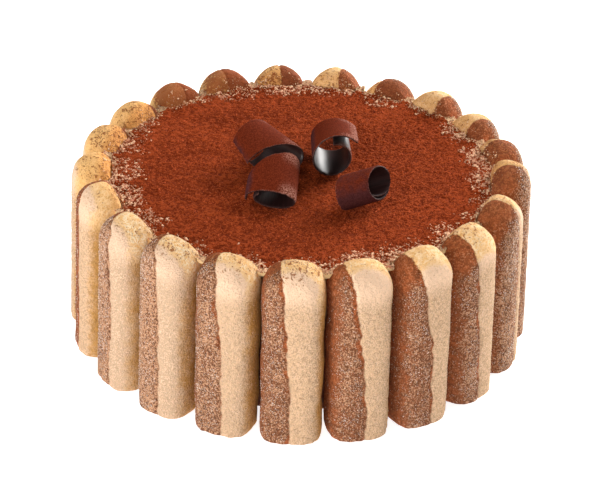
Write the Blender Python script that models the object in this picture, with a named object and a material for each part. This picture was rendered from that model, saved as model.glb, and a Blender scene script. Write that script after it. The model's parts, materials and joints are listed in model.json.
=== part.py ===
"""Tiramisu cake: two-colour sponge fingers stand in a ring round a cream cake dusted with cocoa, with four
chocolate curls lying on the middle of its top. Metres, +Z up, the origin on the floor under the cake's axis.
The side with the origin's -Y is the front.
"""

import math
import random
from typing import NamedTuple

import bpy
from mathutils import Matrix, Vector

# The whole cake
RING_RADIUS = 0.105
GAP = 0.0004

# A sponge finger, flat at the back and crowned at the front, cut flat at its foot
BISCUIT_COUNT = 21
BISCUIT_WIDTH = 0.0254
BISCUIT_DEPTH = 0.018
BISCUIT_HEIGHT = 0.081
BISCUIT_WIDEST = 0.0045
BISCUIT_DOME = 0.0135
DOME_FULLNESS = 2.6
TIP_FORWARD = 0.0036
FRONT_ROUNDNESS = 0.66
BACK_ROUNDNESS = 0.40
INWARD_LEAN = math.radians(2.3)
FIRST_BISCUIT_ANGLE = math.radians(-69.6)
BISCUIT_SIDES = 20
BISCUIT_BANDS = 3
DOME_BANDS = 5

# How much one finger differs from the next
WIDTH_SPREAD = 0.0003
HEIGHT_SPREAD = 0.0008
SIDE_LEAN_SPREAD = math.radians(0.22)
WAVE_DEPTH = 0.00022
WAVE_COUNT = 2.6
FIRST_SEED = 100
BROAD_BISCUITS = (4, 5)
BROADER_BY = 0.0005
TALLER_BY = {6: -0.0010, 9: 0.0036, 13: -0.0024}
SIDE_LEANS = {1: math.radians(-0.7)}
MOVED_ROUND = {
    0: math.radians(-0.25),
    8: math.radians(0.3),
    9: math.radians(0.15),
    13: math.radians(-0.25),
}

# The cream cake inside the ring
TOP_HEIGHT = 0.0738
FOOT_RADIUS = 0.0795
FOOT_HEIGHT = 0.0050
TOP_EDGE_ROUND = 0.0014
TOP_WAVE = 0.00045
QUICK_SHARE = 0.3
CAKE_SIDES = 84
TOP_RINGS = 9

# The chocolate sheet that the curls are rolled from
SHEET_THICKNESS = 0.0012
ROUND_STEP = 17
FREE_TURN = 0.78
LENGTH_STEPS = 3

# Finishes
SPONGE_COLOUR = (0.62, 0.36, 0.17, 1)
SPONGE_ROUGHNESS = 0.85
COCOA_COLOUR = (0.22, 0.045, 0.014, 1)
COCOA_ROUGHNESS = 0.95
CHOCOLATE_COLOUR = (0.055, 0.014, 0.010, 1)
CHOCOLATE_ROUGHNESS = 0.35
CREASE_ANGLE = math.radians(50)


class Curl(NamedTuple):
    """A rolled chocolate sheet. Before it is turned its axis lies along Y, with the near end at -Y.

    Angles are in degrees. An angle round the roll is 0 at its top and grows towards +X.
    """

    name: str
    place: tuple
    turn: float
    tip: float
    length: float
    near_radius: float
    far_radius: float
    near_height: float = 1.0
    far_height: float = 1.0
    start: float = -80
    sweep: float = 390
    hand: int = 1
    wind: float = 0.15
    lift: float = 0.0
    near_slant: float = 0.0
    near_slant_angle: float = 90
    far_slant: float = 0.0
    far_slant_angle: float = 90


CURLS = (
    Curl(
        name="chocolate_curl_1",
        place=(-0.0176, -0.0004),
        turn=37,
        tip=9,
        length=0.0187,
        near_radius=0.0156,
        far_radius=0.0129,
        near_height=0.53,
        far_height=0.82,
        start=-68,
        sweep=262,
        wind=0.12,
        near_slant=0.0016,
        near_slant_angle=115,
        far_slant=0.0030,
        far_slant_angle=97,
    ),
    Curl(
        name="chocolate_curl_2",
        place=(0.0136, 0.0029),
        turn=2.7,
        tip=1.2,
        length=0.0213,
        near_radius=0.0099,
        far_radius=0.0095,
        near_height=1.06,
        far_height=1.05,
        start=60,
        sweep=425,
        hand=-1,
        wind=0.20,
        lift=0.0031,
        near_slant=0.0020,
        near_slant_angle=-56,
        far_slant=0.0033,
        far_slant_angle=-161,
    ),
    Curl(
        name="chocolate_curl_3",
        place=(-0.0116, -0.0270),
        turn=-4,
        tip=6.8,
        length=0.0166,
        near_radius=0.0124,
        far_radius=0.0117,
        near_height=0.40,
        far_height=0.89,
        start=-106,
        sweep=415,
        wind=0.30,
        near_slant=0.0019,
        near_slant_angle=90,
        far_slant=0.0098,
        far_slant_angle=89,
    ),
    Curl(
        name="chocolate_curl_4",
        place=(0.0256, -0.0324),
        turn=99,
        tip=10,
        length=0.0166,
        near_radius=0.0080,
        far_radius=0.0093,
        near_height=1.06,
        far_height=0.88,
        start=100,
        sweep=500,
        wind=0.19,
        near_slant=0.0056,
        near_slant_angle=108,
        far_slant=0.0035,
        far_slant_angle=-65,
    ),
)


def clear_scene():
    """Removes what the scene holds at the start."""
    for thing in list(bpy.data.objects):
        bpy.data.objects.remove(thing, do_unlink=True)


def make_material(name, colour, roughness):
    """A plain Principled finish."""
    material = bpy.data.materials.new(name)
    material.use_nodes = True
    shader = material.node_tree.nodes["Principled BSDF"]
    shader.inputs["Base Color"].default_value = colour
    shader.inputs["Roughness"].default_value = roughness
    shader.inputs["Metallic"].default_value = 0.0
    return material


def add_object(name, points, faces, material):
    """A smooth-shaded mesh object of the given points and faces."""
    mesh = bpy.data.meshes.new(name)
    mesh.from_pydata(points, [], faces)
    mesh.materials.append(material)
    mesh.shade_smooth()
    mesh.set_sharp_from_angle(angle=CREASE_ANGLE)
    thing = bpy.data.objects.new(name, mesh)
    bpy.context.scene.collection.objects.link(thing)
    return thing


def ring_faces(first, count):
    """The quads between the ring of points that begins at first and the next ring."""
    faces = []
    for i in range(count):
        j = (i + 1) % count
        faces.append((first + i, first + j, first + count + j, first + count + i))
    return faces


def signed_power(value, power):
    """The value raised to a power, with its sign kept."""
    return math.copysign(abs(value) ** power, value)


def biscuit_section(width, rise):
    """The outline across a finger: x across it, y from its widest line, outwards positive. It is a rounded
    block along the straight length and turns into an oval as the dome rises from 0 to 1.
    """
    outline = []
    for i in range(BISCUIT_SIDES):
        angle = 2 * math.pi * i / BISCUIT_SIDES
        across, out = math.cos(angle), math.sin(angle)
        roundness = FRONT_ROUNDNESS if out > 0 else BACK_ROUNDNESS
        roundness += (1 - roundness) * rise**2
        reach = BISCUIT_DEPTH - BISCUIT_WIDEST if out > 0 else BISCUIT_WIDEST
        outline.append((width / 2 * signed_power(across, roundness), reach * signed_power(out, roundness)))
    return outline


def biscuit_levels(height):
    """Height and rise within the dome, 0 to 1, of each level up to just below the tip."""
    straight = height - BISCUIT_DOME
    levels = [(straight * i / BISCUIT_BANDS, 0.0) for i in range(BISCUIT_BANDS + 1)]
    for i in range(1, DOME_BANDS):
        rise = math.sin(math.pi / 2 * i / DOME_BANDS)
        levels.append((straight + BISCUIT_DOME * rise, rise))
    return levels


def biscuit_place(index, side_lean):
    """From a finger's own axes, with its flat back at y = 0, to its place in the ring."""
    angle = FIRST_BISCUIT_ANGLE + 2 * math.pi * index / BISCUIT_COUNT + MOVED_ROUND.get(index, 0)
    foot = Matrix.Translation((0, RING_RADIUS - BISCUIT_DEPTH, 0))
    lean_in = Matrix.Rotation(INWARD_LEAN, 4, "X")
    lean_aside = Matrix.Rotation(side_lean, 4, "Y")
    return Matrix.Rotation(angle + math.pi, 4, "Z") @ foot @ lean_in @ lean_aside


def make_biscuit(index, material):
    """One sponge finger, a little wavy along its sides and unlike its neighbours."""
    draw = random.Random(FIRST_SEED + index)
    width = BISCUIT_WIDTH + draw.uniform(-WIDTH_SPREAD, WIDTH_SPREAD)
    height = BISCUIT_HEIGHT + draw.uniform(-HEIGHT_SPREAD, HEIGHT_SPREAD)
    side_lean = draw.uniform(-SIDE_LEAN_SPREAD, SIDE_LEAN_SPREAD)
    phase = draw.uniform(0, 2 * math.pi)
    if index in BROAD_BISCUITS:
        width += BROADER_BY
    height += TALLER_BY.get(index, 0)
    side_lean += SIDE_LEANS.get(index, 0)

    points = []
    for level, rise in biscuit_levels(height):
        wave = WAVE_DEPTH * math.sin(phase + 2 * math.pi * WAVE_COUNT * level / height)
        across = math.sqrt(1 - rise**2)
        deep = math.sqrt(1 - rise**DOME_FULLNESS)
        back = BISCUIT_WIDEST + TIP_FORWARD * (1 - deep)
        for x, y in biscuit_section(width + 2 * wave, rise):
            points.append(Vector((x * across, back + y * deep, level)))
    rings = len(points) // BISCUIT_SIDES
    points.append(Vector((0, BISCUIT_WIDEST + TIP_FORWARD, height)))

    faces = [tuple(reversed(range(BISCUIT_SIDES)))]
    for ring in range(rings - 1):
        faces += ring_faces(ring * BISCUIT_SIDES, BISCUIT_SIDES)
    last = (rings - 1) * BISCUIT_SIDES
    for i in range(BISCUIT_SIDES):
        faces.append((last + i, last + (i + 1) % BISCUIT_SIDES, len(points) - 1))

    place = biscuit_place(index, side_lean)
    placed = [place @ point for point in points]
    lowest = min(point.z for point in placed[:BISCUIT_SIDES])
    for point in placed[:BISCUIT_SIDES]:
        point.z = lowest
    for point in placed:
        point.z -= lowest
    return add_object(f"biscuit_{index + 1:02d}", placed, faces, material)


def inner_radius(height):
    """How far out the cream reaches at a height: up to the leaning backs of the fingers."""
    return RING_RADIUS - BISCUIT_DEPTH - height * math.tan(INWARD_LEAN) - 2 * GAP


def top_wave(x, y):
    """The soft unevenness of the cream's top: swells of 90 mm with quicker ones of 30 mm over them."""
    slow = math.sin(71 * x + 1.3) * math.cos(63 * y - 0.4)
    quick = math.sin(157 * x - 118 * y + 2.0)
    return TOP_WAVE * ((1 - QUICK_SHARE) * slow + QUICK_SHARE * quick)


def make_cream_cake(material):
    """The cake within the ring: a foot drawn in a little, an upright side and a softly uneven top."""
    shoulder = TOP_HEIGHT - TOP_EDGE_ROUND
    side = [
        (FOOT_RADIUS, 0.0),
        (inner_radius(FOOT_HEIGHT), FOOT_HEIGHT),
        (inner_radius(shoulder), shoulder),
    ]
    rim = inner_radius(TOP_HEIGHT) - TOP_EDGE_ROUND
    points = []
    for radius, height in side:
        for i in range(CAKE_SIDES):
            angle = 2 * math.pi * i / CAKE_SIDES
            points.append((radius * math.sin(angle), -radius * math.cos(angle), height))
    for ring in range(TOP_RINGS):
        radius = rim * (1 - ring / TOP_RINGS)
        for i in range(CAKE_SIDES):
            angle = 2 * math.pi * i / CAKE_SIDES
            x, y = radius * math.sin(angle), -radius * math.cos(angle)
            points.append((x, y, TOP_HEIGHT + top_wave(x, y)))
    rings = len(points) // CAKE_SIDES
    points.append((0, 0, TOP_HEIGHT + top_wave(0, 0)))

    faces = [tuple(reversed(range(CAKE_SIDES)))]
    for ring in range(rings - 1):
        faces += ring_faces(ring * CAKE_SIDES, CAKE_SIDES)
    last = (rings - 1) * CAKE_SIDES
    for i in range(CAKE_SIDES):
        faces.append((last + i, last + (i + 1) % CAKE_SIDES, len(points) - 1))
    return add_object("cream_cake", points, faces, material)


def curl_point(curl, along, swept, inset):
    """A point of the rolled sheet, from 0 at the near end to 1 at the far one, after a sweep in degrees."""
    turned = swept / 360
    angle = math.radians(curl.start + curl.hand * swept)
    base = curl.near_radius + (curl.far_radius - curl.near_radius) * along
    standing_off = curl.lift * max(0.0, 1 - turned / FREE_TURN) ** 2
    radius = base * (1 - curl.wind * turned) + standing_off
    height = curl.near_height + (curl.far_height - curl.near_height) * along
    near_cut = curl.near_slant * (1 - along) * math.cos(angle - math.radians(curl.near_slant_angle))
    far_cut = curl.far_slant * along * math.cos(angle - math.radians(curl.far_slant_angle))
    across = (radius - inset) * math.sin(angle)
    up = (radius * height - inset) * math.cos(angle) - base * (1 - height)
    return Vector((across, curl.length * (along - 0.5) - near_cut + far_cut, up))


def make_curl(curl, material):
    """A chocolate curl, lying on the cream with a small gap under its lowest point."""
    steps = math.ceil(curl.sweep / ROUND_STEP)
    points = []
    for inset in (0.0, SHEET_THICKNESS):
        for i in range(steps + 1):
            for k in range(LENGTH_STEPS + 1):
                points.append(curl_point(curl, k / LENGTH_STEPS, curl.sweep * i / steps, inset))
    row = LENGTH_STEPS + 1
    inner = (steps + 1) * row
    faces = []
    for i in range(steps):
        for k in range(LENGTH_STEPS):
            a = i * row + k
            faces.append((a, a + row, a + row + 1, a + 1))
            faces.append((inner + a, inner + a + 1, inner + a + row + 1, inner + a + row))
        near, far = i * row, i * row + LENGTH_STEPS
        faces.append((near, inner + near, inner + near + row, near + row))
        faces.append((far, far + row, inner + far + row, inner + far))
    for k in range(LENGTH_STEPS):
        first, last = k, steps * row + k
        faces.append((first, first + 1, inner + first + 1, inner + first))
        faces.append((last, inner + last, inner + last + 1, last + 1))

    if curl.hand < 0:
        faces = [tuple(reversed(face)) for face in faces]

    tipped = Matrix.Rotation(math.radians(-curl.tip), 4, "X")
    turned = Matrix.Rotation(math.radians(curl.turn), 4, "Z") @ tipped
    placed = [turned @ point + Vector((*curl.place, 0)) for point in points]
    drop = min(point.z - top_wave(point.x, point.y) for point in placed)
    for point in placed:
        point.z += TOP_HEIGHT + GAP - drop
    return add_object(curl.name, placed, faces, material)


def main():
    clear_scene()
    sponge = make_material("sponge_finger", SPONGE_COLOUR, SPONGE_ROUGHNESS)
    cocoa = make_material("cocoa_on_cream", COCOA_COLOUR, COCOA_ROUGHNESS)
    chocolate = make_material("dark_chocolate", CHOCOLATE_COLOUR, CHOCOLATE_ROUGHNESS)
    for index in range(BISCUIT_COUNT):
        make_biscuit(index, sponge)
    make_cream_cake(cocoa)
    for curl in CURLS:
        make_curl(curl, chocolate)


main()
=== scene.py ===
"""Tiramisu cake, dressed: two-colour sponge fingers dusted with sugar stand in a ring round a cream cake
under sifted cocoa, with four chocolate curls on top. Metres, +Z up, the front towards -Y.
"""

import json
import math
import random
from typing import NamedTuple

import bpy
import numpy as np
from bpy.props import FloatProperty, FloatVectorProperty, IntProperty, PointerProperty
from mathutils import Matrix, Vector

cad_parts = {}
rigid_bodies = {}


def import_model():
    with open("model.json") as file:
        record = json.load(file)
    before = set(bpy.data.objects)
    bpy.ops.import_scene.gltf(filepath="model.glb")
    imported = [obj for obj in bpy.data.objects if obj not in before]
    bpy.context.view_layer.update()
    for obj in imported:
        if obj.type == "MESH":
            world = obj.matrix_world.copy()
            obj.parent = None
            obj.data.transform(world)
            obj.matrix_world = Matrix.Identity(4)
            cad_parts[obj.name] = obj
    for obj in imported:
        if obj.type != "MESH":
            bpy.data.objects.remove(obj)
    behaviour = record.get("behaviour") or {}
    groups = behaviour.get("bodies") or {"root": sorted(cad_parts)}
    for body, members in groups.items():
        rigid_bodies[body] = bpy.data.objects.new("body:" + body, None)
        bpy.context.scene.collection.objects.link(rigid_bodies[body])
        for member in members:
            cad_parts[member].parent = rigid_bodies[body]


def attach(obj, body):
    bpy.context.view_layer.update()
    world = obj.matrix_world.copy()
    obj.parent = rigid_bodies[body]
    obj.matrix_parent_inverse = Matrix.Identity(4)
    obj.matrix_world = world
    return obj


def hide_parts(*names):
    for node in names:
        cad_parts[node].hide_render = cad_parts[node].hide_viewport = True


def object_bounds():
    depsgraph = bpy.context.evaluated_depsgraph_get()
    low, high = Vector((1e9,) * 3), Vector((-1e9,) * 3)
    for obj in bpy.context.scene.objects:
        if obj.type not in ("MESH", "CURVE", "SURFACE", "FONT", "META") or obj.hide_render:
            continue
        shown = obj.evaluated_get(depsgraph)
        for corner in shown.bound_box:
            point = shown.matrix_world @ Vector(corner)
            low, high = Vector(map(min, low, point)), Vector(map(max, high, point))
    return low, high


bl_info = {
    "name": "Tiramisu cake",
    "version": (1, 0, 0),
    "blender": (4, 5, 0),
    "location": "View3D > Sidebar > Cake",
    "description": "A cocoa-dusted cream cake in a ring of sponge fingers, with chocolate curls",
    "category": "Add Mesh",
}

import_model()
CAD_BOX = [list(corner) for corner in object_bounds()]
BODY = "root"
MM = 0.001

# The ring of sponge fingers, as the frame has it
RING_RADIUS = 0.105
GAP = 0.0004
FINGER_COUNT = 21
FINGER_WIDTH = 0.0254
FINGER_DEPTH = 0.018
FINGER_HEIGHT = 0.081
FINGER_WIDEST = 0.0045
FINGER_DOME = 0.0135
DOME_FULLNESS = 2.6
TIP_FORWARD = 0.0036
TIP_DEPTH = FINGER_WIDEST + TIP_FORWARD
FRONT_ROUNDNESS = 0.66
BACK_ROUNDNESS = 0.40
INWARD_LEAN = math.radians(2.3)
FIRST_ANGLE = math.radians(-69.6)
WIDTH_SPREAD = 0.0003
HEIGHT_SPREAD = 0.0008
SIDE_LEAN_SPREAD = math.radians(0.22)
WAVE_DEPTH = 0.00022
WAVE_COUNT = 2.6
FIRST_SEED = 100
BROAD_FINGERS = (4, 5)
BROADER_BY = 0.0005
TALLER_BY = {6: -0.0010, 9: 0.0036, 13: -0.0024}
SIDE_LEANS = {1: math.radians(-0.7)}
MOVED_ROUND = {
    0: math.radians(-0.25),
    8: math.radians(0.3),
    9: math.radians(0.15),
    13: math.radians(-0.25),
}

# The cream cake within the ring
TOP_HEIGHT = 0.0738
FOOT_RADIUS = 0.0795
FOOT_HEIGHT = 0.0050
TOP_WAVE = 0.00045
QUICK_SHARE = 0.3

# The middle of the top is an even disc, and the grid outside it is drawn out to the fingers
MIDDLE_RADIUS = 0.070
MIDDLE_SHARE = 0.85

# Levels of the cake's side between its top and its foot
UNDERCUT_HEIGHT = 0.0722
UNDERCUT = 0.0002
SHOULDER_HEIGHT = 0.0700
SIDE_HEIGHTS = (0.0500, 0.0300)

# How finely the pieces are meshed
FINGER_SIDES = 108
FINGER_STEP = 0.00062
DOME_STEPS = 26
TOP_CELLS = 340
TOP_POINTS = (TOP_CELLS + 1) ** 2
CURL_ROUND_STEP = 4
CURL_LENGTH_STEPS = 26
OUTLINE_SAMPLES = 1441
SHORTEST = 1e-12


class FingerLook(NamedTuple):
    """How one finger is coloured and dusted. Lengths in millimetres: seam and edges across the finger from
    its middle, and the bare stretches of its two halves down from its tip.
    """

    seam: tuple
    bare_top: float = 8.7
    cocoa_top: float = 3.0
    vanilla_edge: float = 9.6
    cocoa_edge: float = 12.0
    dust: float = 0.12
    sugar: float = 1.0
    toast: float = 1.0


# Where the vanilla half meets the cocoa half is given near the foot, half-way up, near the top and at the tip
FINGER_LOOKS = (
    FingerLook((-1.8, -1.8, -0.8, 3.0), bare_top=4.0, vanilla_edge=10.6, sugar=0.35, toast=0.5),
    FingerLook((-2.8, -3.5, -1.6, 4.5), bare_top=5.5, vanilla_edge=12.0, sugar=1.2, toast=0.2),
    FingerLook((-2.8, -2.0, -0.3, 4.0), bare_top=5.4, vanilla_edge=11.8, dust=0.26, sugar=1.2, toast=0.2),
    FingerLook((-2.0, -1.0, 1.7, 3.4), bare_top=4.6, vanilla_edge=11.6, dust=0.20, sugar=1.05, toast=0.1),
    FingerLook(
        (0.6, 1.2, 4.2, 4.8), bare_top=5.0, cocoa_top=2.0, vanilla_edge=11.2, cocoa_edge=13.0,
        dust=0.32, sugar=0.85, toast=0.1,
    ),
    FingerLook(
        (-1.2, 0.6, 6.0, 6.6), bare_top=4.4, cocoa_top=3.4, vanilla_edge=12.0, dust=0.08, sugar=0.78,
        toast=0.1,
    ),
    FingerLook(
        (-0.6, 0.4, 5.7, 6.4), bare_top=8.5, cocoa_top=10.0, vanilla_edge=13.0, cocoa_edge=11.8,
        dust=0.06, sugar=0.8, toast=0.1,
    ),
    FingerLook(
        (1.8, 3.4, 5.8, 6.0), bare_top=13.0, cocoa_top=13.0, vanilla_edge=13.0, cocoa_edge=11.6,
        dust=0.22, sugar=0.9, toast=0.1,
    ),
    FingerLook((-1.2, -0.8, 0.6, 1.5), bare_top=8.0, cocoa_top=8.5, cocoa_edge=12.4, dust=0.2, toast=0.2),
    FingerLook((0.0, 0.0, 0.5, 1.0), bare_top=6.0, cocoa_top=4.0, dust=0.3, toast=0.6),
    FingerLook((-2.0, -3.0, -4.0, -4.0), bare_top=8.0, cocoa_top=6.0, dust=0.25, toast=0.3),
    FingerLook((1.0, 2.0, 2.7, 2.7), bare_top=8.5, dust=0.1, toast=0.4),
    FingerLook((1.0, 2.0, 3.5, 3.5), dust=0.08, toast=0.3),
    FingerLook((-4.0, -5.0, -6.4, -6.4), bare_top=7.5, dust=0.35, toast=0.6),
    FingerLook((0.0, 1.0, 2.2, 2.2), dust=0.25, toast=0.4),
    FingerLook((0.0, 0.0, 0.6, 0.6), dust=0.45, toast=0.8),
    FingerLook((-1.0, -1.0, -1.5, -1.5), dust=0.9, toast=0.8),
    FingerLook((-1.0, 0.0, 2.0, 2.0), dust=1.1, toast=1.0),
    FingerLook((-2.0, 2.0, 7.0, 7.0), dust=0.32),
    FingerLook((-2.0, 2.0, 7.5, 7.5), dust=0.36),
    FingerLook((-2.0, 1.0, 6.5, 6.5), bare_top=8.0, dust=0.22),
)
SEAM_HEIGHTS = (0.005, 0.040, 0.074, 0.0805)

# How far each finger's patterns lie from the next one's, and how proud its lumps may stand
PATTERN_SHIFT = (0.31, 0.17, 0.23)
MOST_PROUD = 0.22 * MM
MOST_PROUD_BEHIND = 0.12 * MM
BACK_DEPTH = 0.003

# How far down from a finger's tip the colours of its dome begin and end to fade
BORDER_START = 0.009
BORDER_END = 0.020

# Widths of the crust's patterns
FINE_CRUMB = 0.62 * MM
COARSE_CRUMB = 1.30 * MM
CRUST_PATCH = 3.2 * MM
BROAD_PATCH = 11 * MM

# Colours of the baked crust that no setting holds
PALE_CREAM = (0.92, 0.675, 0.41)
WHITE_CREAM = (0.93, 0.77, 0.54)
TOASTED_CREAM = (0.79, 0.425, 0.145)
DEEP_YELLOW = (0.90, 0.53, 0.20)
# Partly painted light: the sugar near the rounded tops is made paler and pinker.
LIT_PINK_SUGAR = (0.97, 0.67, 0.47)
GOLDEN_EDGE = (0.84, 0.52, 0.22)
BROWN_PIT = (0.38, 0.18, 0.070)
BROWN_SPOT = (0.44, 0.17, 0.045)
DAMP_COCOA_DARK = (0.095, 0.030, 0.013)
DAMP_COCOA_LIGHT = (0.205, 0.062, 0.024)
BACK_COCOA = (0.20, 0.048, 0.020)
TAN_CRACK = (0.56, 0.28, 0.15)
THIN_FALLEN_COCOA = (0.48, 0.17, 0.050)
THICK_FALLEN_COCOA = (0.29, 0.070, 0.021)

# Widths of the sifted cocoa's patterns
COCOA_GRAIN = 0.75 * MM
COCOA_CLUMP = 1.7 * MM
COCOA_CLOUD = 22 * MM

# Colours of the cream, and of the cake's side behind the fingers, painted dark as shade in the narrow gaps
RIM_CREAM = (0.88, 0.63, 0.36)
SIDE_SHADE_DEEP = (0.12, 0.036, 0.014)
SIDE_SHADE_SOFT = (0.26, 0.105, 0.044)
SIDE_CREAM = (0.80, 0.55, 0.27)

# Colours of the loose bits: light and dark
SUGAR_TONES = ((0.90, 0.78, 0.69), (0.80, 0.57, 0.38))
FLECK_TONES = ((0.95, 0.63, 0.40), (0.56, 0.21, 0.11))
CRUMB_TONES = ((0.88, 0.62, 0.38), (0.44, 0.15, 0.055))


class Curl(NamedTuple):
    """A rolled chocolate sheet, as the frame has it. Its axis lies along Y before it is turned."""

    node: str
    place: tuple
    turn: float
    tip: float
    length: float
    near_radius: float
    far_radius: float
    near_height: float
    far_height: float
    start: float
    sweep: float
    wind: float
    near_slant: float
    near_slant_angle: float
    far_slant: float
    far_slant_angle: float
    hand: int = 1
    lift: float = 0.0
    dust: float = 1.0
    dull: bool = False


# Degrees of a curl's sweep whose outer face shows, the part of a turn over which a lifted flap comes down,
# and about how many degrees go to a radian
OPEN_SWEEP = 352
FREE_TURN = 0.78
DEGREES_A_RADIAN = 57

CURLS = (
    Curl(
        "chocolate_curl_1", (-0.0176, -0.0004), turn=37, tip=9, length=0.0187,
        near_radius=0.0156, far_radius=0.0129, near_height=0.53, far_height=0.82,
        start=-68, sweep=262, wind=0.12,
        near_slant=0.0016, near_slant_angle=115, far_slant=0.0030, far_slant_angle=97,
    ),
    Curl(
        "chocolate_curl_2", (0.0136, 0.0029), turn=2.7, tip=1.2, length=0.0213,
        near_radius=0.0099, far_radius=0.0095, near_height=1.06, far_height=1.05,
        start=60, sweep=425, hand=-1, wind=0.20, lift=0.0031,
        near_slant=0.0020, near_slant_angle=-56, far_slant=0.0033, far_slant_angle=-161,
    ),
    Curl(
        "chocolate_curl_3", (-0.0116, -0.0270), turn=-4, tip=6.8, length=0.0166,
        near_radius=0.0124, far_radius=0.0117, near_height=0.40, far_height=0.89,
        start=-106, sweep=415, wind=0.30,
        near_slant=0.0019, near_slant_angle=90, far_slant=0.0098, far_slant_angle=89, dull=True,
    ),
    Curl(
        "chocolate_curl_4", (0.0256, -0.0324), turn=99, tip=10, length=0.0166,
        near_radius=0.0080, far_radius=0.0093, near_height=1.06, far_height=0.88,
        start=100, sweep=500, wind=0.19,
        near_slant=0.0056, near_slant_angle=108, far_slant=0.0035, far_slant_angle=-65, dust=0.5, dull=True,
    ),
)

# The camera, from the picture's 614 x 500 frame
PICTURE_WIDTH = 614
PICTURE_HEIGHT = 500
FOCAL_PIXELS = 1849.9
CENTRE_X = 299.82
CENTRE_Y = 234.91
CAMERA_DISTANCE = 0.8437
CAMERA_PITCH = math.radians(30.62)
CAMERA_ROLL = math.radians(1.665)
AIM_HEIGHT = 0.04
SENSOR_WIDTH = 36
CLIP_RANGE = (0.01, 20)


class FingerSettings(bpy.types.PropertyGroup):
    """What a user may change on the sponge fingers."""

    relief: FloatProperty(
        name="Relief", description="Height of the lumps baked into the crust", default=0.00018, unit="LENGTH"
    )
    seam_depth: FloatProperty(
        name="Seam depth", description="Depth of the groove at the seam", default=0.00040, unit="LENGTH"
    )
    crust_step: FloatProperty(
        name="Crust step", description="How far the sugared crust rises", default=0.00008, unit="LENGTH"
    )
    vanilla: FloatVectorProperty(
        name="Vanilla", description="Vanilla crumb", subtype="COLOR", default=(0.63, 0.405, 0.242)
    )
    vanilla_side: FloatVectorProperty(
        name="Vanilla side", description="Bare vanilla crumb", subtype="COLOR", default=(0.52, 0.265, 0.075)
    )
    toasted: FloatVectorProperty(
        name="Toasted", description="Vanilla crumb behind", subtype="COLOR", default=(0.82, 0.36, 0.105)
    )
    cocoa: FloatVectorProperty(
        name="Cocoa", description="Cocoa crumb", subtype="COLOR", default=(0.36, 0.098, 0.032)
    )
    sugar: FloatVectorProperty(
        name="Sugar", description="Sugar on the cocoa half", subtype="COLOR", default=(0.58, 0.315, 0.178)
    )
    frosting: FloatVectorProperty(
        name="Frosting", description="Sugar on the vanilla half", subtype="COLOR", default=(0.82, 0.575, 0.40)
    )


class TopSettings(bpy.types.PropertyGroup):
    """What a user may change on the cream and its cocoa."""

    grain: FloatProperty(
        name="Grain", description="Height of the cocoa's grain", default=0.00042, unit="LENGTH"
    )
    # The light cocoa is partly painted highlight on high spots, and the dark partly painted shade in hollows.
    cocoa_light: FloatVectorProperty(
        name="Light cocoa", description="Cocoa on high spots", subtype="COLOR", default=(0.38, 0.066, 0.018)
    )
    cocoa_dark: FloatVectorProperty(
        name="Dark cocoa", description="Cocoa in hollows", subtype="COLOR", default=(0.135, 0.0185, 0.0040)
    )
    cream: FloatVectorProperty(
        name="Cream", description="Cream that shows through", subtype="COLOR", default=(0.86, 0.47, 0.29)
    )


class CurlSettings(bpy.types.PropertyGroup):
    """What a user may change on the chocolate curls."""

    thickness: FloatProperty(
        name="Thickness", description="Thickness of the chocolate sheet", default=0.0011, unit="LENGTH"
    )
    chocolate: FloatVectorProperty(
        name="Chocolate", description="Dark chocolate", subtype="COLOR", default=(0.020, 0.0068, 0.0062)
    )
    matte: FloatVectorProperty(
        name="Matte", description="Dull outer faces", subtype="COLOR", default=(0.068, 0.0195, 0.0190)
    )
    dust: FloatVectorProperty(
        name="Dust", description="Cocoa dusted on the curls", subtype="COLOR", default=(0.128, 0.0190, 0.0060)
    )
    # Pale pink of the sheet's rim, and painted highlight on the side facing right.
    bloom: FloatVectorProperty(
        name="Pale_rim_and_highlight", description="Frosty pink bloom", subtype="COLOR", default=(0.42, 0.20, 0.15)
    )


class ScatterSettings(bpy.types.PropertyGroup):
    """How much is scattered over the cake."""

    crystals: IntProperty(name="Sugar crystals", description="Number of sugar crystals", default=30000)
    grains: IntProperty(name="Cocoa grains", description="Number of cocoa grains", default=30000)
    flecks: IntProperty(name="Cream flecks", description="Number of cream flecks", default=7000)
    crumbs: IntProperty(name="Rim crumbs", description="Number of sponge crumbs along the rim", default=4400)


class StageSettings(bpy.types.PropertyGroup):
    """The floor and the lights."""

    floor: FloatVectorProperty(
        name="Floor", description="Colour of the floor", subtype="COLOR", default=(0.72, 0.72, 0.72)
    )
    floor_glow: FloatProperty(name="Floor glow", description="Light from under the floor", default=0.80)
    behind: FloatProperty(name="Behind", description="Low light from behind", default=34.0, unit="POWER")
    key: FloatProperty(name="Key", description="Light from above on the right", default=20.5, unit="POWER")
    above: FloatProperty(name="Above", description="Light from above", default=5.0, unit="POWER")
    left: FloatProperty(name="Left", description="Light from front left", default=21.5, unit="POWER")
    front: FloatProperty(name="Front", description="Light from the front", default=9.6, unit="POWER")


# The stage
FLOOR_REACH = 4.0
FLOOR_DEPTH = 0.0002
FLOOR_BLOTCH = 0.08
WORLD_COLOUR = (1.0, 0.99, 0.98, 1)
WORLD_STRENGTH = 0.03
LIGHT_COLOUR = (1.0, 0.99, 0.97)
LIGHTS_AIM = (0, 0, 0.05)

# The lights: name, place and size
LIGHTS = (
    ("behind", (0.85, 1.00, 0.48), 0.9),
    ("key", (1.30, 0.82, 1.28), 0.64),
    ("above", (-0.50, 0.30, 1.60), 0.8),
    ("left", (-1.15, -1.00, 0.40), 1.0),
    ("front", (0.0, -1.42, 0.85), 1.0),
)


# Noise and numbers


def chance(cells, seed):
    """A repeatable random number from 0 to 1 for each row of three whole numbers."""
    n = cells[:, 0] * 73856093 ^ cells[:, 1] * 19349663 ^ cells[:, 2] * 83492791 ^ seed * 668265263
    n = (n ^ (n >> 13)) * 1274126177
    n = n ^ (n >> 16)
    return (n & 0xFFFFFF) / 0xFFFFFF


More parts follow.
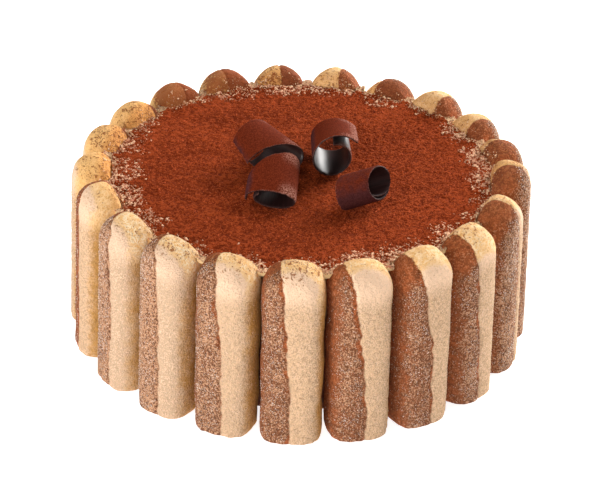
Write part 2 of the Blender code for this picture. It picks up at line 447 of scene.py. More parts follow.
def noise(points, size, seed):
    """Smooth noise from -1 to 1, with swells about as wide as the size."""
    scaled = points / size
    cell = np.floor(scaled).astype(np.int64)
    part = scaled - cell
    part = part * part * (3 - 2 * part)
    total = np.zeros(len(points))
    for corner in range(8):
        step = np.array([corner & 1, corner >> 1 & 1, corner >> 2 & 1])
        weight = np.prod(np.where(step, part, 1 - part), axis=1)
        total += weight * chance(cell + step, seed)
    return 2 * total - 1


def smooth(value, low, high):
    """0 below low, 1 above high and a smooth rise between."""
    share = np.clip((value - low) / (high - low), 0, 1)
    return share * share * (3 - 2 * share)


# Meshes


def add_piece(name, points, faces, materials, values=None, material_index=None):
    """A smooth-shaded mesh piece that rides on the cake's body, with a named value for each point."""
    mesh = bpy.data.meshes.new(name)
    mesh.from_pydata(np.clip(points, *CAD_BOX).tolist(), [], faces)
    for material in materials:
        mesh.materials.append(material)
    if material_index is not None:
        mesh.polygons.foreach_set("material_index", material_index)
    mesh.shade_smooth()
    for key, value in (values or {}).items():
        kind = "FLOAT" if value.ndim == 1 else "FLOAT_VECTOR"
        field = "value" if value.ndim == 1 else "vector"
        attribute = mesh.attributes.new(key, kind, "POINT")
        attribute.data.foreach_set(field, np.ascontiguousarray(value, dtype=np.float32).ravel())
    mesh.update()
    piece = bpy.data.objects.new(name, mesh)
    bpy.context.scene.collection.objects.link(piece)
    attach(piece, BODY)
    return piece


def grid_faces(rows, columns, first=0):
    """Quads between rows of points that close round on themselves."""
    i = np.arange(rows - 1)[:, None] * columns + first
    j = np.arange(columns)[None, :]
    k = (j + 1) % columns
    quads = np.stack([i + j, i + k, i + k + columns, i + j + columns], axis=-1)
    return quads.reshape(-1, 4).tolist()


def unit(vectors):
    """Vectors of length 1 in the same directions."""
    return vectors / np.maximum(np.linalg.norm(vectors, axis=-1, keepdims=True), SHORTEST)


def grid_normals(grid):
    """Outward normals of rows of points that close round on themselves."""
    round_way = np.roll(grid, -1, axis=1) - np.roll(grid, 1, axis=1)
    return unit(np.cross(round_way, np.gradient(grid, axis=0)))


def named_values(piece, key):
    """The values that a piece keeps for its points."""
    data = piece.data.attributes[key].data
    values = np.empty(len(data), np.float32)
    data.foreach_get("value", values)
    return values.astype(float)


def piece_points(piece):
    """Points and normals of a piece."""
    count = len(piece.data.vertices)
    points, normals = np.empty(count * 3, np.float32), np.empty(count * 3, np.float32)
    piece.data.vertices.foreach_get("co", points)
    piece.data.vertices.foreach_get("normal", normals)
    return points.reshape(-1, 3).astype(float), normals.reshape(-1, 3).astype(float)


# Materials


# Sockets of the mix node for colours
MIX_SHARE = 0
MIX_A = 6
MIX_B = 7
MIX_COLOUR = 2


class Paint:
    """A material in the making, with short calls for the nodes it is built from."""

    def __init__(self, name):
        self.material = bpy.data.materials.new(name)
        self.material.use_nodes = True
        self.nodes = self.material.node_tree.nodes
        self.links = self.material.node_tree.links
        self.shader = self.nodes["Principled BSDF"]

    def node(self, kind, settings=None, **inputs):
        """Adds a node. Values that are sockets are linked, and others are set."""
        made = self.nodes.new(kind)
        for key, value in (settings or {}).items():
            setattr(made, key, value)
        for key, value in inputs.items():
            self.feed(made.inputs[key.replace("_", " ")], value)
        return made

    def feed(self, socket, value):
        """Links a socket or sets its value."""
        if isinstance(value, bpy.types.NodeSocket):
            self.links.new(value, socket)
        else:
            socket.default_value = value

    def own(self):
        """The place on the piece's own axes, kept with the points."""
        return self.node("ShaderNodeAttribute", {"attribute_name": "own"}).outputs["Vector"]

    def value(self, key):
        """A number kept with the points."""
        return self.node("ShaderNodeAttribute", {"attribute_name": key}).outputs["Fac"]

    def place(self):
        """The place on the object, in metres."""
        return self.node("ShaderNodeTexCoord").outputs["Object"]

    def noise(self, where, size, detail=2.0, roughness=0.5):
        """Noise from 0 to 1 with swells about as wide as the size."""
        inputs = {"Vector": where, "Scale": 1 / size, "Detail": detail, "Roughness": roughness}
        return self.node("ShaderNodeTexNoise", **inputs).outputs["Fac"]

    def sum(self, kind, *numbers):
        """A sum of two or three numbers."""
        made = self.node("ShaderNodeMath", {"operation": kind})
        for socket, number in zip(made.inputs, numbers):
            self.feed(socket, number)
        return made.outputs[0]

    def times(self, a, b):
        """Two numbers multiplied."""
        return self.sum("MULTIPLY", a, b)

    def add(self, a, weight, b):
        """The first number, weighted, and the last."""
        return self.sum("MULTIPLY_ADD", a, weight, b)

    def swing(self, pattern, weight, b):
        """A number that a pattern of 0 to 1 pushes up and down."""
        return self.add(self.sum("SUBTRACT", pattern, 0.5), weight, b)

    def larger(self, a, b):
        """The larger of two numbers."""
        return self.sum("MAXIMUM", a, b)

    def rest(self, share):
        """What a share leaves of 1."""
        return self.sum("SUBTRACT", 1.0, share)

    def step(self, value, low, high, to_low=0.0, to_high=1.0):
        """A smooth step of the value from low to high."""
        made = self.node("ShaderNodeMapRange", {"interpolation_type": "SMOOTHSTEP"})
        self.feed(made.inputs["Value"], value)
        for key, number in (("From Min", low), ("From Max", high), ("To Min", to_low), ("To Max", to_high)):
            self.feed(made.inputs[key], number)
        return made.outputs["Result"]

    def mix(self, share, a, b):
        """Colour a turned into colour b."""
        made = self.node("ShaderNodeMix", {"data_type": "RGBA"})
        self.feed(made.inputs[MIX_SHARE], share)
        for socket, colour in ((MIX_A, a), (MIX_B, b)):
            plain = not isinstance(colour, bpy.types.NodeSocket)
            self.feed(made.inputs[socket], (*colour[:3], 1) if plain else colour)
        return made.outputs[MIX_COLOUR]

    def mottle(self, pattern, low, high, colour, dark, light):
        """A colour made darker where the pattern is low and lighter where it is high."""
        return self.mix(self.step(pattern, low, high), shade(colour, dark), shade(colour, light))

    def bump(self, height, distance, strength=1.0):
        """Fine relief from a height of 0 to 1."""
        made = self.node("ShaderNodeBump", Strength=strength, Distance=distance, Height=height)
        return made.outputs["Normal"]

    def finish(self, **inputs):
        """Joins the finish to the shader."""
        for key, value in inputs.items():
            if isinstance(value, tuple) and len(value) == 3:
                value = (*value, 1)
            self.feed(self.shader.inputs[key.replace("_", " ")], value)
        return self.material


def shade(colour, factor):
    """A colour made lighter or darker."""
    return tuple(min(1.0, channel * factor) for channel in colour[:3])


def sponge_material(settings):
    """Baked sponge: its vanilla and its cocoa half, the sugar on its crust and what fell on its top."""
    paint = Paint("baked_sponge")
    own = paint.own()
    seam, crust, dust = paint.value("seam"), paint.value("crust"), paint.value("dust")
    border, back = paint.value("border"), paint.value("back")
    fine = paint.noise(own, FINE_CRUMB, 2, 0.6)
    worm = paint.noise(own, COARSE_CRUMB, 2, 0.6)
    middling = paint.noise(own, CRUST_PATCH, 3, 0.55)
    broad = paint.noise(own, BROAD_PATCH, 2)
    crumb = paint.add(fine, 0.5, paint.times(worm, 0.5))
    thick = paint.step(paint.add(broad, 0.55, paint.times(middling, 0.55)), 0.42, 0.68)

    # Where each half is, and where the crust is sugared
    wander = paint.swing(middling, 1.6 * MM, seam)
    wander = paint.swing(fine, 1.8 * MM, wander)
    cocoa_share = paint.step(wander, -0.30 * MM, 0.30 * MM)
    patches = paint.swing(middling, 3.4 * MM, crust)
    patches = paint.swing(fine, 2.6 * MM, patches)
    field = paint.step(patches, -1.6 * MM, 1.9 * MM)
    inside = paint.step(patches, -2.6 * MM, 3.6 * MM)

    # The vanilla half: tan where it is sugared, mustard on its side, creamy round the top and toasted behind
    side = paint.mottle(crumb, 0.38, 0.62, settings.vanilla_side, 0.80, 1.16)
    paler = paint.step(paint.value("sugar"), 0.95, 1.2)
    cream = paint.mix(paler, PALE_CREAM, WHITE_CREAM)
    cream = paint.mix(paint.times(paint.value("toast"), 0.85), cream, DEEP_YELLOW)
    cream = paint.mix(paint.step(crumb, 0.38, 0.56), TOASTED_CREAM, cream)
    cream = paint.mix(paint.times(paint.step(middling, 0.44, 0.62), 0.55), cream, TOASTED_CREAM)
    side = paint.mix(border, side, cream)
    toasted = paint.mottle(crumb, 0.36, 0.64, settings.toasted, 0.72, 1.35)
    side = paint.mix(back, side, toasted)
    front = paint.mottle(crumb, 0.38, 0.60, settings.vanilla, 0.72, 1.08)
    speck = paint.step(paint.add(thick, 0.06, fine), 0.54, 0.66)
    front = paint.mix(paint.times(speck, 0.60), front, settings.frosting)
    front = paint.mix(paint.times(paler, 0.35), front, settings.frosting)
    # Partly the sugar's own pink, partly painted light on the rounded top.
    front = paint.mix(paint.times(border, 0.60), front, LIT_PINK_SUGAR)
    edge = paint.times(field, paint.rest(field))
    vanilla = paint.mix(field, side, front)
    vanilla = paint.mix(paint.times(paint.times(edge, border), 1.6), vanilla, GOLDEN_EDGE)
    dark_bits = paint.step(crumb, 0.405, 0.33)
    vanilla = paint.mix(paint.times(dark_bits, 0.45), vanilla, BROWN_PIT)

    # The cocoa half: reddish brown, stippled with sugar that thins out towards its sides and the seam
    cocoa = paint.mottle(crumb, 0.40, 0.60, settings.cocoa, 0.62, 1.26)
    cocoa = paint.mix(paint.times(paint.step(middling, 0.46, 0.60), 0.55), cocoa, shade(settings.cocoa, 0.5))
    under = paint.mix(paint.step(worm, 0.38, 0.6), DAMP_COCOA_DARK, DAMP_COCOA_LIGHT)
    cocoa = paint.mix(paint.times(back, 0.7), cocoa, BACK_COCOA)
    reach = paint.step(broad, 0.40, 0.62, -1.6 * MM, 1.4 * MM)
    groove = paint.step(paint.sum("SUBTRACT", wander, reach), -0.4 * MM, 1.4 * MM)
    groove = paint.larger(groove, paint.times(paler, 0.85))
    amount = paint.times(paint.times(inside, groove), paint.value("sugar"))
    cover = paint.add(fine, 0.80, paint.times(worm, 0.20))
    cover = paint.add(thick, 0.055, cover)
    cover = paint.add(amount, 0.135, cover)
    grains = paint.step(cover, 0.630, 0.695)
    veil = paint.add(grains, 0.78, paint.times(amount, 0.08))
    cocoa = paint.mix(amount, cocoa, under)
    cocoa = paint.mix(veil, cocoa, settings.sugar)
    near_seam = paint.step(wander, 3.2 * MM, 0.4 * MM)
    # Painted shade in the pits of the rough crumb near the seam.
    pit_shade = paint.times(paint.step(worm, 0.45, 0.36), paint.step(broad, 0.40, 0.56))
    pit_shade = paint.times(paint.times(pit_shade, near_seam), 0.7)
    cocoa = paint.mix(pit_shade, cocoa, shade(settings.cocoa, 0.30))
    bare = paint.rest(field)
    cracks = paint.larger(paint.times(paint.times(border, bare), 0.75), back)
    cracks = paint.times(paint.step(crumb, 0.54, 0.61), cracks)
    cocoa = paint.mix(paint.times(cracks, 0.7), cocoa, TAN_CRACK)
    spots = paint.times(paint.step(worm, 0.57, 0.63), paint.step(middling, 0.48, 0.58))
    spots = paint.times(spots, paint.times(border, bare))
    vanilla = paint.mix(paint.times(spots, paint.add(dust, 1.6, 0.25)), vanilla, BROWN_SPOT)
    colour = paint.mix(cocoa_share, vanilla, cocoa)

    # Crumbs and cocoa that fell on the rounded tops
    reach = paint.swing(middling, 0.9, dust)
    spots = paint.add(fine, 0.45, paint.times(worm, 0.55))
    spots = paint.step(paint.add(reach, 0.24, spots), 0.59, 0.66)
    dusted = paint.times(spots, paint.step(dust, 0.0, 0.12))
    fallen = paint.mix(paint.step(dust, 0.2, 0.4), THIN_FALLEN_COCOA, THICK_FALLEN_COCOA)
    colour = paint.mix(paint.times(dusted, 0.88), colour, fallen)

    height = paint.add(fine, 0.60, paint.times(worm, 0.85))
    height = paint.add(veil, 0.30, height)
    height = paint.add(dusted, 0.30, height)
    normal = paint.bump(height, 0.72 * MM, 1.0)
    roughness = paint.step(veil, 0.0, 1.0, 0.9, 0.65)
    return paint.finish(Base_Color=colour, Roughness=roughness, Normal=normal, Specular_IOR_Level=0.15)


def cocoa_top_material(settings):
    """Sifted cocoa over rough cream: a fine grain, soft darker patches, painted light and shade, and cream
    where it is thin.
    """
    paint = Paint("sifted_cocoa")
    place = paint.place()
    bare, high, web = paint.value("bare"), paint.value("high"), paint.value("web")
    rim, shaded, coarse = paint.value("rim"), paint.value("shaded"), paint.value("coarse")
    grain = paint.noise(place, COCOA_GRAIN, 3, 0.65)
    clumps = paint.noise(place, COCOA_CLUMP, 3, 0.6)
    broad = paint.noise(place, COCOA_CLOUD, 3)
    tone = paint.add(clumps, 0.22, paint.times(broad, 0.20))
    tone = paint.add(grain, 0.78, tone)
    # Painted highlight and shade: lighter where the grain stands high, with more contrast towards the right.
    tone = paint.add(high, 0.10, tone)
    tone = paint.swing(grain, paint.times(coarse, 0.45), tone)
    colour = paint.mix(paint.step(tone, 0.49, 0.74), settings.cocoa_dark, settings.cocoa_light)
    # Lighter grains, more towards the right: partly the cocoa's own grains, partly painted highlight.
    light_grain = paint.step(paint.add(grain, 0.6, paint.times(clumps, 0.4)), 0.60, 0.70)
    light_grain = paint.times(light_grain, paint.add(coarse, 0.35, 0.45))
    colour = paint.mix(light_grain, colour, shade(settings.cocoa_light, 1.9))
    # Painted shade close by the curls.
    colour = paint.mix(paint.times(shaded, 0.92), colour, shade(settings.cocoa_dark, 0.35))
    thin = paint.add(bare, 0.60, paint.times(web, 0.46))
    thin = paint.swing(grain, 0.7, thin)
    shows = paint.step(thin, 0.72, 0.84)
    filled = paint.step(paint.swing(grain, 0.8, rim), 0.80, 0.98)
    shows = paint.larger(shows, filled)
    cream = paint.mix(paint.step(rim, 0.15, 0.75), settings.cream, RIM_CREAM)
    cream = paint.mix(paint.step(grain, 0.60, 0.38), cream, shade(settings.cream, 0.55))
    colour = paint.mix(paint.times(shows, 0.9), colour, cream)
    height = paint.add(grain, 0.5, paint.times(clumps, 0.9))
    normal = paint.bump(height, 0.9 * MM, 1.0)
    return paint.finish(Base_Color=colour, Roughness=0.95, Normal=normal, Specular_IOR_Level=0.02)


def cake_side_material(settings):
    """The cake's side behind the fingers: painted dark as shade in the narrow gaps, with cream near the top.
    """
    paint = Paint("soaked_sponge")
    place = paint.place()
    broad = paint.noise(place, 9 * MM, 3)
    fine = paint.noise(place, 1.5 * MM, 3)
    height = paint.node("ShaderNodeSeparateXYZ", Vector=place).outputs["Z"]
    height = paint.swing(broad, 0.02, height)
    # Painted shade: dark brown where the narrow gaps hide the side, cream near the top.
    colour = paint.mix(paint.step(broad, 0.4, 0.65), SIDE_SHADE_DEEP, SIDE_SHADE_SOFT)
    colour = paint.mix(paint.step(fine, 0.45, 0.8), colour, shade(settings.cocoa_dark, 1.5))
    colour = paint.mix(paint.step(height, 0.052, 0.060), colour, SIDE_CREAM)
    return paint.finish(Base_Color=colour, Roughness=0.8, Normal=paint.bump(fine, 0.6 * MM))


def clean_chocolate(settings, name, roughness, specular):
    """Dark chocolate where it is clean, with faint streaks along the scrape."""
    paint = Paint(name)
    stretched = paint.node("ShaderNodeMapping", Vector=paint.own(), Scale=(1.0, 0.10, 1.0)).outputs["Vector"]
    streaks = paint.noise(stretched, 0.9 * MM, 2)
    fine = paint.noise(paint.place(), 0.6 * MM, 3)
    colour = paint.mottle(streaks, 0.3, 0.7, settings.chocolate, 0.7, 1.3)
    # Pale rim, and painted highlight on the side facing right.
    bloom = paint.step(paint.value("bloom"), 0.15, 0.95)
    speckled_rim_and_highlight = paint.times(bloom, paint.step(fine, 0.35, 0.62))
    colour = paint.mix(paint.times(speckled_rim_and_highlight, 0.55), colour, settings.bloom)
    roughness = paint.step(speckled_rim_and_highlight, 0.0, 1.0, roughness, 0.8)
    normal = paint.bump(streaks, 0.03 * MM, 0.8)
    return paint.finish(Base_Color=colour, Roughness=roughness, Normal=normal, Specular_IOR_Level=specular)


def dusted_chocolate(settings):
    """Chocolate under sifted cocoa: dull, reddish where the cocoa lies, pale pink on its rim and painted
    highlight on its right side.
    """
    paint = Paint("dusted_chocolate")
    place = paint.place()
    fine = paint.noise(place, 0.55 * MM, 3)
    middling = paint.noise(place, 1.6 * MM, 3)
    broad = paint.noise(place, 4 * MM, 3)
    matte = paint.mottle(fine, 0.35, 0.65, settings.matte, 0.75, 1.25)
    powder = paint.mottle(fine, 0.35, 0.7, settings.dust, 0.72, 1.35)
    reach = paint.add(broad, 0.5, paint.add(middling, 0.35, paint.value("dust")))
    dusted = paint.step(reach, 0.60, 1.10)
    # Pale rim, and painted highlight on the side facing right.
    bloom = paint.step(paint.value("bloom"), 0.15, 0.95)
    speckled_rim_and_highlight = paint.times(bloom, paint.step(fine, 0.40, 0.60))
    colour = paint.mix(dusted, matte, powder)
    colour = paint.mix(paint.times(speckled_rim_and_highlight, 0.70), colour, settings.bloom)
    height = paint.add(fine, 0.7, paint.times(middling, 0.6))
    normal = paint.bump(height, 0.16 * MM, 0.9)
    return paint.finish(Base_Color=colour, Roughness=0.9, Normal=normal, Specular_IOR_Level=0.04)


def grain_material(name, tones, roughness, size):
    """Small loose bits, each with a tone of its own from dark to light, and a little uneven."""
    light, dark = tones
    paint = Paint(name)
    uneven = paint.noise(paint.place(), size, 2)
    tone = paint.swing(uneven, 0.8, paint.value("tone"))
    colour = paint.mix(paint.step(tone, 0.0, 1.0), dark, light)
    normal = paint.bump(uneven, 0.1 * MM)
    return paint.finish(Base_Color=colour, Roughness=roughness, Normal=normal, Specular_IOR_Level=0.2)


# Sponge fingers


def finger_name(index):
    """The name of a finger's piece."""
    return f"sponge_finger_{index + 1:02d}"


def finger_outline(width, rise):
    """Points evenly spaced round a finger's section, from the middle of its back: x across it, y outwards."""
    angle = np.linspace(-math.pi / 2, 3 * math.pi / 2, OUTLINE_SAMPLES)
    across, out = np.cos(angle), np.sin(angle)
    roundness = np.where(out > 0, FRONT_ROUNDNESS, BACK_ROUNDNESS)
    roundness = roundness + (1 - roundness) * rise**2
    reach = np.where(out > 0, FINGER_DEPTH - FINGER_WIDEST, FINGER_WIDEST)
    x = width / 2 * np.sign(across) * np.abs(across) ** roundness
    y = reach * np.sign(out) * np.abs(out) ** roundness
    length = np.concatenate([[0], np.cumsum(np.hypot(np.diff(x), np.diff(y)))])
    even = np.linspace(0, length[-1], FINGER_SIDES, endpoint=False)
    return np.interp(even, length, x), np.interp(even, length, y)


def finger_levels(height):
    """Height and rise within the dome, 0 to 1, of each level up to just below the tip."""
    straight = height - FINGER_DOME
    steps = int(straight / FINGER_STEP)
    levels = [(straight * i / steps, 0.0) for i in range(steps + 1)]
    for i in range(1, DOME_STEPS):
        rise = math.sin(math.pi / 2 * i / DOME_STEPS)
        levels.append((straight + FINGER_DOME * rise, rise))
    return levels


def finger_place(index, side_lean):
    """From a finger's own axes, with its flat back at y = 0, to its place in the ring."""
    angle = FIRST_ANGLE + 2 * math.pi * index / FINGER_COUNT + MOVED_ROUND.get(index, 0)
    foot = Matrix.Translation((0, RING_RADIUS - FINGER_DEPTH, 0))
    lean_in = Matrix.Rotation(INWARD_LEAN, 4, "X")
    lean_aside = Matrix.Rotation(side_lean, 4, "Y")
    return Matrix.Rotation(angle + math.pi, 4, "Z") @ foot @ lean_in @ lean_aside


def finger_form(index):
    """A finger's width, height and lean to the side, and where its waves start, drawn as for its node."""
    draw = random.Random(FIRST_SEED + index)
    width = FINGER_WIDTH + draw.uniform(-WIDTH_SPREAD, WIDTH_SPREAD)
    height = FINGER_HEIGHT + draw.uniform(-HEIGHT_SPREAD, HEIGHT_SPREAD)
    side_lean = draw.uniform(-SIDE_LEAN_SPREAD, SIDE_LEAN_SPREAD)
    phase = draw.uniform(0, 2 * math.pi)
    if index in BROAD_FINGERS:
        width += BROADER_BY
    height += TALLER_BY.get(index, 0)
    side_lean += SIDE_LEANS.get(index, 0)
    return width, height, side_lean, phase


def finger_surface(width, height, phase):
    """Points and normals of a finger's plain form on its own axes, level by level, with its tip last."""
    rows = []
    for level, rise in finger_levels(height):
        wave = WAVE_DEPTH * math.sin(phase + 2 * math.pi * WAVE_COUNT * level / height)
        across, deep = math.sqrt(1 - rise**2), math.sqrt(1 - rise**DOME_FULLNESS)
        x, y = finger_outline(width + 2 * wave, rise)
        back = FINGER_WIDEST + TIP_FORWARD * (1 - deep)
        rows.append(np.stack([x * across, back + y * deep, np.full(FINGER_SIDES, level)], axis=1))
    grid = np.array(rows)
    points = np.concatenate([grid.reshape(-1, 3), [[0, TIP_DEPTH, height]]])
    normals = np.concatenate([grid_normals(grid).reshape(-1, 3), [[0, 0, 1]]])
    return points, normals


def finger_marks(look, local, shifted, width, height):
    """For each point of a finger: how far from the seam and the crust's edge, near the tip and behind."""
    x, y, z = local.T
    along = shifted * (0, 0, 1)
    wander = noise(along, 8 * MM, 11) * 0.6 * MM + noise(along, 2.8 * MM, 12) * 0.4 * MM
    seam = x - np.interp(z, SEAM_HEIGHTS, np.array(look.seam) * MM) - wander
    outline = height - FINGER_DOME * (1 - np.sqrt(np.clip(1 - (x / (width / 2 * 1.02)) ** 2, 0, 1)))
    edge_wander = noise(shifted, 6 * MM, 13) * 0.6 * MM
    side_room = np.minimum(look.cocoa_edge * MM - x, look.vanilla_edge * MM + x)
    down_front = np.hypot(np.maximum(y - TIP_DEPTH, 0), outline - z)
    bare_top = np.where(seam > 0, look.cocoa_top, look.bare_top) * MM
    crust = np.minimum(side_room, down_front - bare_top) + edge_wander
    crust = np.minimum(crust, (y - 0.006) * 1.5)
    border = smooth(z, height - BORDER_END, height - BORDER_START)
    back = look.toast * smooth(y, 0.0085, 0.0035)
    return {"own": shifted, "seam": seam, "crust": crust, "border": border, "back": back}


def finger_relief(marks, local, width, settings):
    """How far each point of a finger is pushed out: lumps, the seam, the crust's step and the rough foot."""
    x, y, z = local.T
    shifted, seam, crust = marks["own"], marks["seam"], marks["crust"]
    half = width / 2
    lumps = noise(shifted, 8 * MM, 21) + 0.6 * noise(shifted, 3.6 * MM, 22)
    lumps += 0.7 * noise(shifted, 1.5 * MM, 23)
    push = settings.relief * 0.8 * lumps
    push -= settings.seam_depth * np.exp(-((seam / (0.55 * MM)) ** 2))
    push += 0.12 * MM * (smooth(-seam, 0, 0.7 * MM) - 0.5)
    push += settings.crust_step * (smooth(crust, -1.4 * MM, 1.8 * MM) - 0.5)
    edges = smooth(np.abs(x), half * 0.80, half * 0.98) * smooth(z, 0.004, 0.010)
    push += edges * 0.20 * MM * noise(shifted * (0.2, 0.2, 1), 5 * MM, 24)
    near_foot = smooth(z, 0.0016, 0.0)
    push -= near_foot * 0.35 * MM * (0.6 + noise(shifted, 2.2 * MM, 25))
    push = np.minimum(push, MOST_PROUD)
    return np.where(y < BACK_DEPTH, np.minimum(push, MOST_PROUD_BEHIND), push)


def finger_faces(count):
    """The foot, the bands between levels and the tip of a finger with so many points."""
    levels, tip = (count - 1) // FINGER_SIDES, count - 1
    last = tip - FINGER_SIDES
    faces = [list(reversed(range(FINGER_SIDES)))] + grid_faces(levels, FINGER_SIDES)
    return faces + [[last + i, last + (i + 1) % FINGER_SIDES, tip] for i in range(FINGER_SIDES)]


def add_finger(index, material, settings):
    """A sponge finger in its node's place: the node's form with lumps, a seam, a crust and a rough foot."""
    look = FINGER_LOOKS[index]
    width, height, side_lean, phase = finger_form(index)
    local, normals = finger_surface(width, height, phase)
    shifted = local + np.array(PATTERN_SHIFT) * (index + 1)
    marks = finger_marks(look, local, shifted, width, height)
    moved = local + normals * finger_relief(marks, local, width, settings)[:, None]
    moved[:, 2] = np.maximum(moved[:, 2], 0)
    moved[:FINGER_SIDES, 2] = 0

    place = np.array(finger_place(index, side_lean))
    turn, shift = place[:3, :3], place[:3, 3]
    placed = moved @ turn.T + shift
    lowest = (local[:FINGER_SIDES] @ turn.T + shift)[:, 2].min()
    placed[:FINGER_SIDES, 2] = lowest
    placed[:, 2] -= lowest

    inward = placed[:, :2] - placed[:, :2].mean(axis=0)
    facing_in = -(inward * placed[:, :2]).sum(axis=1) / RING_RADIUS
    fallen = smooth(placed[:, 2] + 0.35 * facing_in, height - 0.011, height - 0.002)
    marks["dust"] = look.dust * fallen
    marks |= {key: np.full(len(placed), getattr(look, key)) for key in ("sugar", "toast")}
    piece = add_piece(finger_name(index), placed, finger_faces(len(placed)), [material], marks)
    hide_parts(f"biscuit_{index + 1:02d}")


class CAKE_OT_sponge_fingers(bpy.types.Operator):
    """Stands the sponge fingers in their ring."""

    bl_idname = "cake.sponge_fingers"
    bl_label = "Sponge fingers"

    def execute(self, context):
        settings = context.scene.cake_fingers
        material = sponge_material(settings)
        for index in range(FINGER_COUNT):
            add_finger(index, material, settings)
        return {"FINISHED"}


# Cream cake


def inner_radius(height):
    """How far out the cream reaches at a height: up to the leaning backs of the fingers."""
    return RING_RADIUS - FINGER_DEPTH - height * math.tan(INWARD_LEAN) - 2 * GAP


def top_wave(x, y):
    """The soft unevenness of the cream's top."""
    slow = np.sin(71 * x + 1.3) * np.cos(63 * y - 0.4)
    quick = np.sin(157 * x - 118 * y + 2.0)
    return TOP_WAVE * ((1 - QUICK_SHARE) * slow + QUICK_SHARE * quick)


def cream_reach(angle):
    """How far from the axis the cream reaches at its top: to the fingers' backs, and into each gap."""
    pitch = 2 * math.pi / FINGER_COUNT
    off = (angle - FIRST_ANGLE + pitch / 2) % pitch - pitch / 2
    rise = (TOP_HEIGHT - FINGER_HEIGHT + FINGER_DOME) / FINGER_DOME
    half = FINGER_WIDTH / 2 * math.sqrt(1 - rise**2)
    roundness = BACK_ROUNDNESS + (1 - BACK_ROUNDNESS) * rise**2
    back = RING_RADIUS - FINGER_DEPTH - TOP_HEIGHT * math.tan(INWARD_LEAN)
    reach = np.full_like(angle, back)
    for radius in np.arange(back - 0.0015, back + 0.0055, 0.0001):
        x, y = np.abs(radius * np.sin(off)), radius * np.cos(off) - back - FINGER_WIDEST
        deep = np.abs(np.minimum(y, 0) / FINGER_WIDEST)
        inside = (x / half) ** (2 / roundness) + deep ** (2 / roundness) < 1
        reach = np.where(inside, reach, radius)
    return reach + 0.0001


# Where the cocoa is thinnest along the rim: angle from the front, width and how much thinner
BARE_STRETCHES = (
    (math.radians(25), 0.13, 0.75),
    (math.radians(47), 0.16, 0.35),
    (math.radians(93), 0.24, 0.70),
    (math.radians(119), 0.14, 0.30),
    (math.radians(66), 0.12, -0.25),
    (math.radians(3), 0.22, -0.15),
    (math.radians(-78), 0.22, 0.45),
    (math.radians(-50), 0.14, 0.10),
    (math.radians(-104), 0.20, 0.15),
)

# Painted shade on the cocoa close by the curls: place, width and how much darker
SHADED = (
    (0.0015, 0.0105, 0.0068, 1.0),
    (0.0012, -0.0050, 0.0060, 0.8),
    (0.0040, -0.0190, 0.0080, 0.30),
    (0.0130, 0.0240, 0.0085, 1.0),
    (-0.0204, 0.0115, 0.0060, 1.0),
    (-0.0285, -0.0190, 0.0065, 0.30),
    (-0.0044, -0.0440, 0.0190, 0.13),
)

# Soft hollows in the cream: place, width and depth
DENTS = (
    (-0.0407, 0.0115, 0.0028, 0.0008),
    (-0.0351, -0.0097, 0.0030, 0.0009),
    (-0.0421, -0.0046, 0.0022, 0.0006),
    (-0.0302, -0.0203, 0.0030, 0.0008),
    (0.0018, -0.0310, 0.0026, 0.0009),
    (0.0083, -0.0287, 0.0022, 0.0007),
    (0.0148, -0.0262, 0.0022, 0.0006),
    (-0.0442, 0.0161, 0.0018, 0.0006),
    (-0.0647, 0.0168, 0.0030, 0.0004),
    (-0.0505, 0.0436, 0.0036, 0.0005),
    (-0.0539, 0.0322, 0.0030, 0.0004),
)


def top_relief(x, y, settings, reach):
    """The cream's surface under its cocoa: its height, where the cocoa is thin, grainy or coarse, and painted
    light and shade.
    """
    points = np.stack([x, y, np.zeros_like(x)], axis=1)
    radius = np.hypot(x, y)
    room = reach - radius
    grain = 0.6 * noise(points, 1.5 * MM, 31) + 0.5 * noise(points, 0.85 * MM, 32)
    soft = 0.30 * MM * noise(points, 9 * MM, 33) + 0.12 * MM * noise(points, 4 * MM, 34)
    near_rim = smooth(room, 0.016, 0.002)
    rough = noise(points, 2.4 * MM, 35)
    height = TOP_HEIGHT + top_wave(x, y) + soft * 0.7
    height += settings.grain * grain * (1 + 0.9 * near_rim)
    height += near_rim * 0.35 * MM * rough
    height += smooth(room, 0.0022, 0.0) * (0.5 + 0.5 * noise(points, 3 * MM, 36)) * MM
    height -= smooth(room, 0.0004, -0.0002) * 0.2 * MM
    for dent_x, dent_y, across, deep in DENTS:
        near = ((x - dent_x) ** 2 + (y - dent_y) ** 2) / across**2
        height -= deep * np.exp(-near)

    belt = smooth(room, 0.0190, 0.001) * (0.72 + 0.36 * noise(points, 11 * MM, 37))
    angle = np.arctan2(x, -y)
    most = 0.55 + 0.45 * noise(np.stack([np.cos(angle), np.sin(angle), np.zeros_like(x)], axis=1), 0.55, 38)
    for place, width, share in BARE_STRETCHES:
        most += share * np.exp(-(((angle - place + math.pi) % (2 * math.pi) - math.pi) ** 2) / width**2)
    bare = np.clip(belt * most + 0.12 * noise(points, 6 * MM, 39), 0, 1)
    lines = np.abs(noise(points, 2.6 * MM, 40) + 0.45 * noise(points, 1.2 * MM, 41))
    web = smooth(lines, 0.26, 0.04)
    height += 0.22 * MM * web * bare
    between = smooth(radius, RING_RADIUS - FINGER_DEPTH - 0.0030, RING_RADIUS - FINGER_DEPTH - 0.0010)
    rim = np.maximum(0.75 * smooth(room, 0.0075, 0.0005), between)
    # Painted shade close by the curls.
    shaded = np.zeros_like(x)
    for dark_x, dark_y, across, deep in SHADED:
        shaded = np.maximum(shaded, deep * np.exp(-((x - dark_x) ** 2 + (y - dark_y) ** 2) / across**2))
    # Coarser grain and painted highlight towards the right, where the key light falls.
    coarse = smooth(x, -0.030, 0.050)
    return height, {"bare": bare, "high": grain, "web": web, "rim": rim, "shaded": shaded, "coarse": coarse}


